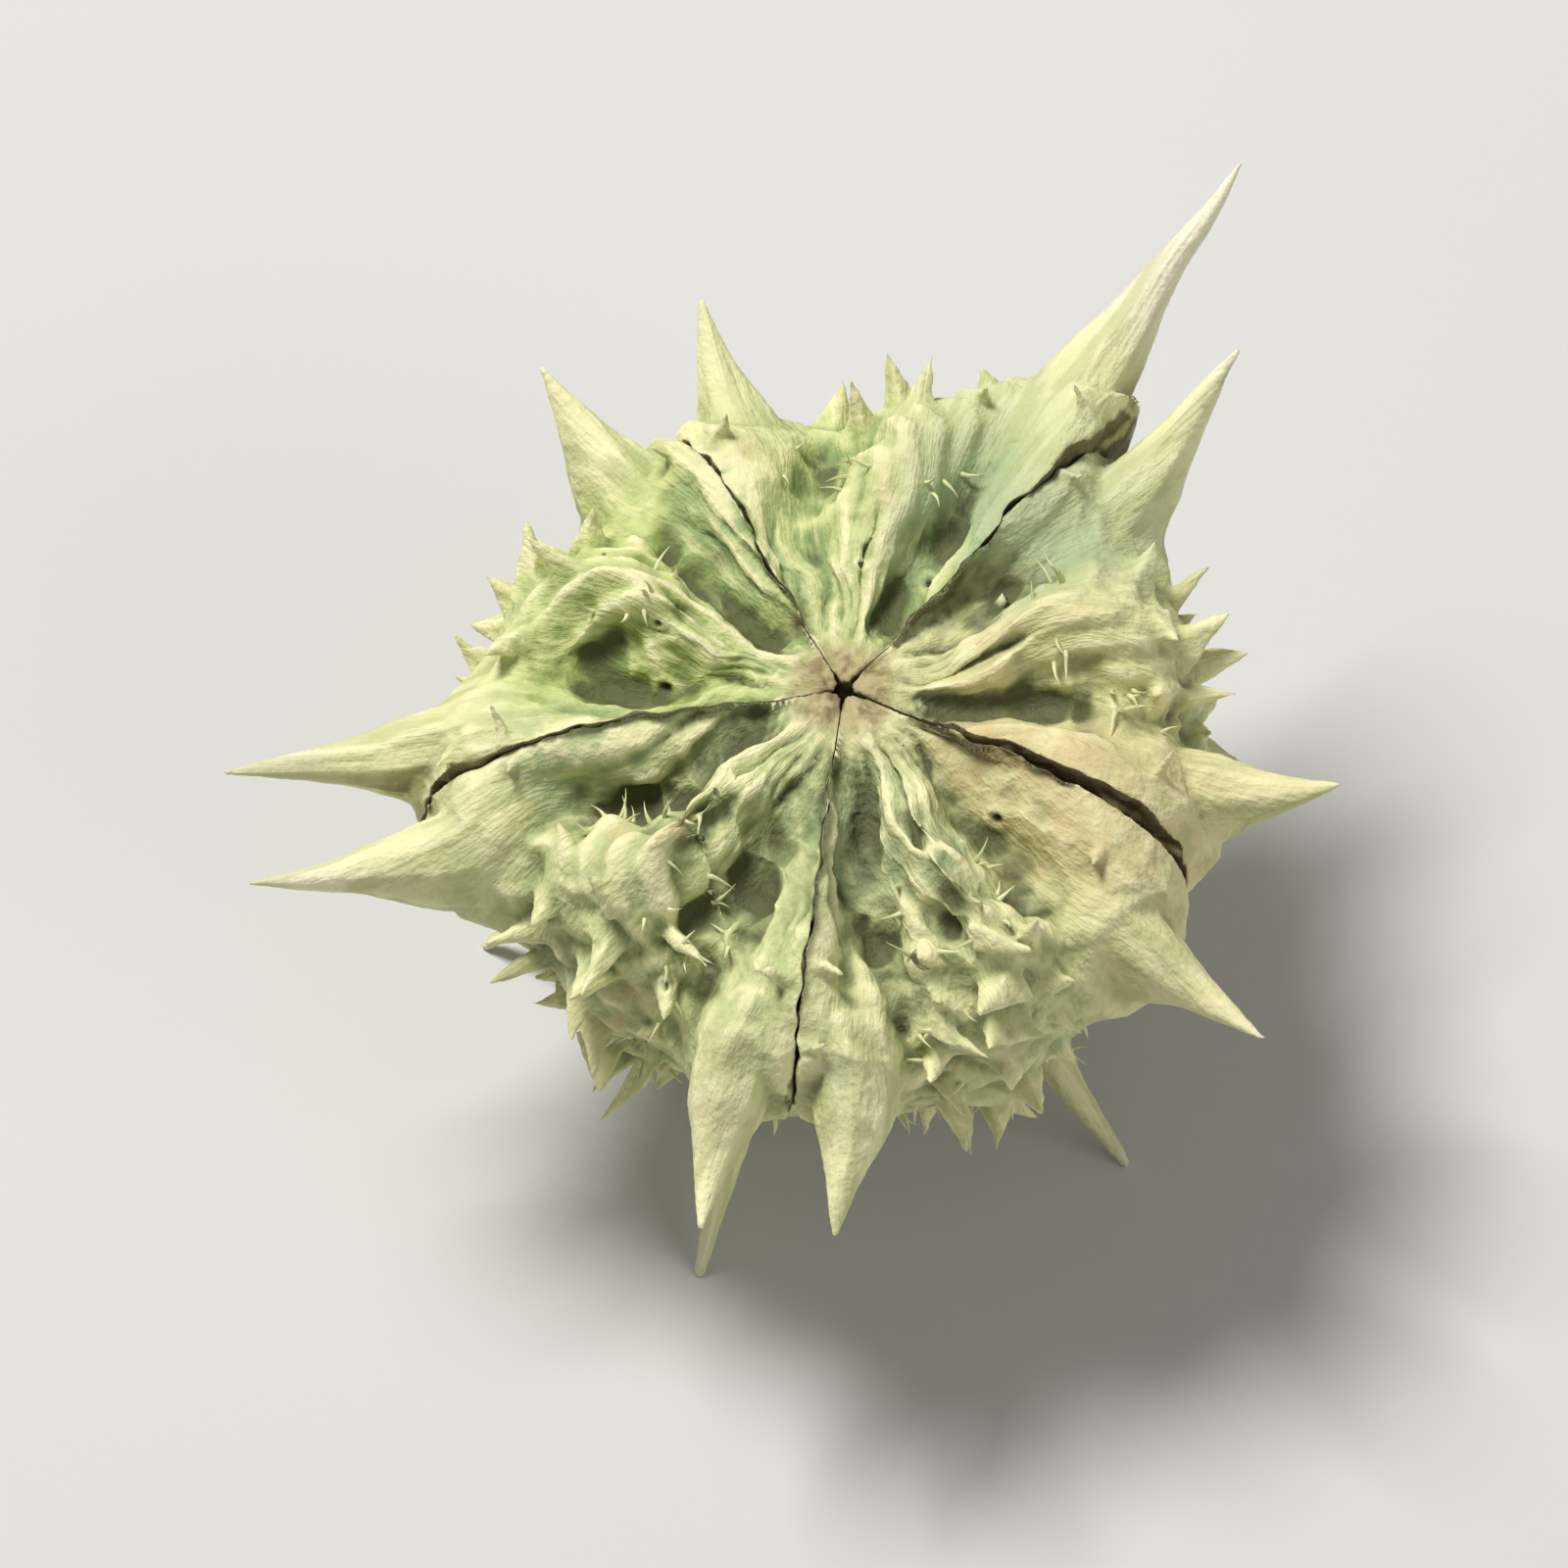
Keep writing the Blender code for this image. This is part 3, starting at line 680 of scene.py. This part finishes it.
bpy.ops.object.select_all(action="DESELECT")
bpy.ops.mesh.primitive_cone_add(
    vertices=BRISTLE_SIDES, radius1=BRISTLE_RADIUS, radius2=BRISTLE_TIP, depth=1.0, location=(0, 0, 0.5)
)
one_bristle = bpy.context.object
bpy.ops.object.transform_apply(location=True)
bpy.ops.object.mode_set(mode="EDIT")
bpy.ops.mesh.select_all(action="DESELECT")
bpy.ops.object.mode_set(mode="OBJECT")
for edge in one_bristle.data.edges:
    ends = [one_bristle.data.vertices[corner].co.z for corner in edge.vertices]
    edge.select = abs(ends[0] - ends[1]) > 0.5
bpy.ops.object.mode_set(mode="EDIT")
bpy.ops.mesh.subdivide(number_cuts=BRISTLE_CUTS)
bpy.ops.object.mode_set(mode="OBJECT")
for vertex in one_bristle.data.vertices:
    vertex.co.x += BRISTLE_BEND * vertex.co.z**2
bristle_mesh = one_bristle.data
bpy.data.objects.remove(one_bristle)

bristle_stuff = bpy.data.materials.new("bristle_straw")
bristle_stuff.use_nodes = True
straw_tree = bristle_stuff.node_tree
straw_shader = straw_tree.nodes["Principled BSDF"]
straw_shader.inputs["Roughness"].default_value = 0.6
straw_share = ranged(straw_tree, speckle(straw_tree, 0.5, 3.0), 0.35, 0.7)
straw_tree.links.new(tinted(straw_tree, *STRAW, straw_share), straw_shader.inputs["Base Color"])


def crest_spots(husk, places, to_nutlet):
    """The vertices where bristles grow: on the crest, off the horns, and not down in a hollow."""
    turned = np.array(to_nutlet)
    local = places @ turned[:3, :3].T + turned[:3, 3]
    level, across, height, reach = where_on_nutlet(local)
    hollow = np.empty(len(places), np.float32)
    husk.data.attributes["hollow_large"].data.foreach_get("value", hollow)
    crest = (np.abs(across) < 0.6) & (level > 2.6) & (reach < 0.8) & (height > -2.7)
    return np.nonzero(crest & (hollow < 0.15))[0]


def grown_bristles(husk, name, dice):
    """All the bristles of a nutlet in one mesh, each sunk a little way into the husk."""
    many, stretch = BRISTLES[name]
    places = vertex_places(husk.data).astype(np.float64)
    normals = vertex_normals(husk.data)
    likely = crest_spots(husk, places, nutlet_space(name))
    clump = bmesh.new()
    for _ in range(many):
        spot = likely[dice.randrange(len(likely))]
        lean = Vector((dice.uniform(-1, 1), dice.uniform(-1, 1), dice.uniform(-1, 1))) * BRISTLE_LEAN
        outward = (Vector(normals[spot]) + lean).normalized()
        length = dice.uniform(*BRISTLE_LENGTHS) * stretch
        facing = outward.to_track_quat("Z", "Y").to_matrix().to_4x4()
        spin = Matrix.Rotation(dice.uniform(0.0, 2.0 * math.pi), 4, "Z")
        size = Matrix.Diagonal((MILLIMETRE, MILLIMETRE, MILLIMETRE * length, 1.0))
        root = Vector(places[spot]) - outward * (BRISTLE_SINK * MILLIMETRE)
        before = len(clump.verts)
        clump.from_mesh(bristle_mesh)
        clump.verts.ensure_lookup_table()
        fresh = clump.verts[before:]
        bmesh.ops.transform(clump, matrix=Matrix.Translation(root) @ facing @ spin @ size, verts=fresh)
    mesh = bpy.data.meshes.new(f"{name}_bristles")
    clump.to_mesh(mesh)
    clump.free()
    return mesh


for number, (name, husk) in enumerate(husks.items()):
    mesh = grown_bristles(husk, name, random.Random(SEED * 5 + number))
    mesh.shade_smooth()
    mesh.materials.append(bristle_stuff)
    bristles = bpy.data.objects.new(mesh.name, mesh)
    bpy.context.scene.collection.objects.link(bristles)
    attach(bristles, "root")


# The floor: a plain matt sheet of pale paper that the burr stands on, laid flat and wide
# enough to fill the view.
FLOOR_WIDTH = 1.2
bpy.ops.object.select_all(action="DESELECT")
bpy.ops.mesh.primitive_plane_add(size=FLOOR_WIDTH, location=(0.0, 0.0, 0.0))
floor = bpy.context.object
floor.name = "floor"
paper = bpy.data.materials.new("pale_paper")
paper.use_nodes = True
paper_shader = paper.node_tree.nodes["Principled BSDF"]
paper_shader.inputs["Base Color"].default_value = hue(208, 206, 202)
paper_shader.inputs["Roughness"].default_value = 0.9
floor.data.materials.append(paper)


# The studio: a soft lamp high on the left, a larger and weaker one low on the right, and an
# even pale room round them, so that the relief reads and no shadow is black.
LIT_POINT = Vector((0.0, 0.0, 0.004))
ROOM_LIGHT = 0.20


def soft_lamp(name, place, size, power):
    light = bpy.data.lights.new(name, "AREA")
    light.shape = "DISK"
    light.size = size
    light.energy = power
    lamp = bpy.data.objects.new(name, light)
    bpy.context.scene.collection.objects.link(lamp)
    lamp.location = place
    lamp.rotation_euler = (LIT_POINT - Vector(place)).to_track_quat("-Z", "Y").to_euler()


soft_lamp("key_lamp", place=(-0.09, 0.09, 0.23), size=0.085, power=0.74)
soft_lamp("fill_lamp", place=(0.18, -0.12, 0.12), size=0.20, power=0.14)
room = bpy.data.worlds.new("pale_room")
bpy.context.scene.world = room
room.use_nodes = True
backdrop = room.node_tree.nodes["Background"]
backdrop.inputs["Color"].default_value = (0.97, 0.98, 1.0, 1.0)
backdrop.inputs["Strength"].default_value = ROOM_LIGHT
bpy.context.scene.view_settings.view_transform = "Standard"


# The camera: a long lens that looks down on the style end, as it does on the burr in the
# photograph.
CAMERA_ELEVATION_DEG = 62.0
CAMERA_DISTANCE = 0.17
CAMERA_AIM = Vector((0.0, -0.0003, 0.0050))
lens = bpy.data.cameras.new("camera")
lens.lens = 300.0
lens.clip_start = 0.005
camera = bpy.data.objects.new("camera", lens)
bpy.context.scene.collection.objects.link(camera)
lift = math.radians(CAMERA_ELEVATION_DEG)
camera.location = CAMERA_AIM + Vector((0.0, -math.cos(lift), math.sin(lift))) * CAMERA_DISTANCE
camera.rotation_euler = (CAMERA_AIM - camera.location).to_track_quat("-Z", "Y").to_euler()
bpy.context.scene.camera = camera
